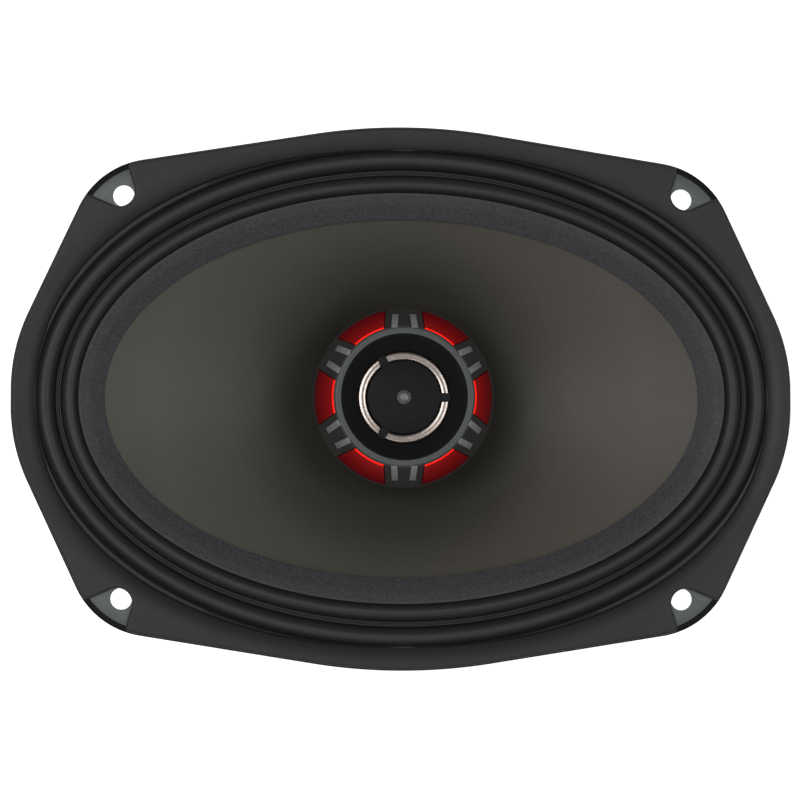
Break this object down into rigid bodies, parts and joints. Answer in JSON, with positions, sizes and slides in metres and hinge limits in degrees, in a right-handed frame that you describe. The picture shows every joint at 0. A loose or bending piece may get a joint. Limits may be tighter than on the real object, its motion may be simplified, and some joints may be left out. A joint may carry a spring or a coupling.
{
  "type": "coaxial car speaker",
  "caption": "Oval two-way car speaker: steel basket with corner bolt holes, sprung cone on a double-roll surround, and a post-mounted tweeter with red inserts.",
  "frame": {"origin": "centre of the bolt pattern on the mounting plane, which is the rear face of the flange", "axes": "+Z is the firing direction, towards the listener; X is the long axis of the oval and Y the short axis, with the terminals on the -Y side"},
  "size_m": [0.2354, 0.164, 0.0901],
  "materials": {
    "basket_paint": "black electrocoat on stamped steel, satin",
    "gasket_black": "moulded front gasket, satin black",
    "zinc_steel": "turned steel, yellow-clear zinc plating",
    "ferrite": "sintered ferrite, ground faces",
    "boot_rubber": "moulded rubber, matte",
    "board_phenolic": "phenolic paper laminate",
    "tinned_brass": "tin-plated brass",
    "capacitor_sleeve": "shrink sleeve",
    "wire_red": "vinyl insulation",
    "wire_black": "vinyl insulation",
    "housing_black": "moulded plastic, fine texture",
    "bezel_black": "moulded plastic, satin",
    "accent_red": "clear-coated red inserts",
    "trim_grey": "fine metallic grey",
    "waveguide_black": "moulded plastic, smooth satin",
    "pin_metal": "small steel pin head",
    "cone_polypropylene": "filled polypropylene, satin",
    "surround_rubber": "butyl rubber, finely textured",
    "spider_cloth": "resin-treated woven cloth",
    "former_film": "polyimide film",
    "copper_wire": "enamelled copper winding",
    "felt_black": "pressed felt",
    "tinsel_braid": "braided tinsel wire",
    "diaphragm_film": "metallised film, mirror bright"
  },
  "bodies": {
    "chassis": {"basket": "basket_paint", "front_gasket": "gasket_black", "top_plate": "zinc_steel", "motor_rivets": "zinc_steel", "magnet": "ferrite", "t_yoke": "zinc_steel", "magnet_boot": "boot_rubber", "tweeter_post": "zinc_steel", "post_washer": "zinc_steel", "post_nut": "zinc_steel", "terminal_board": "board_phenolic", "terminal_positive": "tinned_brass", "terminal_negative": "tinned_brass", "terminal_rivets": "tinned_brass", "board_rivets": "zinc_steel", "crossover_capacitor": "capacitor_sleeve", "capacitor_leads": "tinned_brass", "tweeter_wire_positive": "wire_red", "tweeter_wire_negative": "wire_black", "tweeter_housing": "housing_black", "tweeter_bezel": "bezel_black", "red_accents": "accent_red", "tweeter_trim_ring": "trim_grey", "tweeter_waveguide": "waveguide_black", "phase_plug_pin": "pin_metal", "tweeter_screws": "zinc_steel", "tweeter_mounting_ring": "housing_black", "tweeter_yoke": "zinc_steel", "tweeter_magnet": "ferrite", "tweeter_pole_plate": "zinc_steel"},
    "cone_assembly": {"cone": "cone_polypropylene", "surround": "surround_rubber", "spider": "spider_cloth", "voice_coil_former": "former_film", "voice_coil_winding": "copper_wire", "dust_ring": "felt_black", "lead_eyelets": "tinned_brass", "tinsel_lead_positive": "tinsel_braid", "tinsel_lead_negative": "tinsel_braid"},
    "tweeter_dome": {"tweeter_diaphragm": "diaphragm_film", "tweeter_voice_coil": "copper_wire"}
  },
  "joints": [
    {"name": "cone_travel", "type": "slide", "parent": "chassis", "child": "cone_assembly", "axis": [0, 0, 1], "range_m": [-0.005, 0.005], "stiffness_N_per_m": 3000, "deforming": ["surround", "spider", "tinsel_lead_positive", "tinsel_lead_negative"]},
    {"name": "tweeter_travel", "type": "slide", "parent": "chassis", "child": "tweeter_dome", "axis": [0, 0, 1], "range_m": [-0.0003, 0.0003], "stiffness_N_per_m": 800}
  ]
}
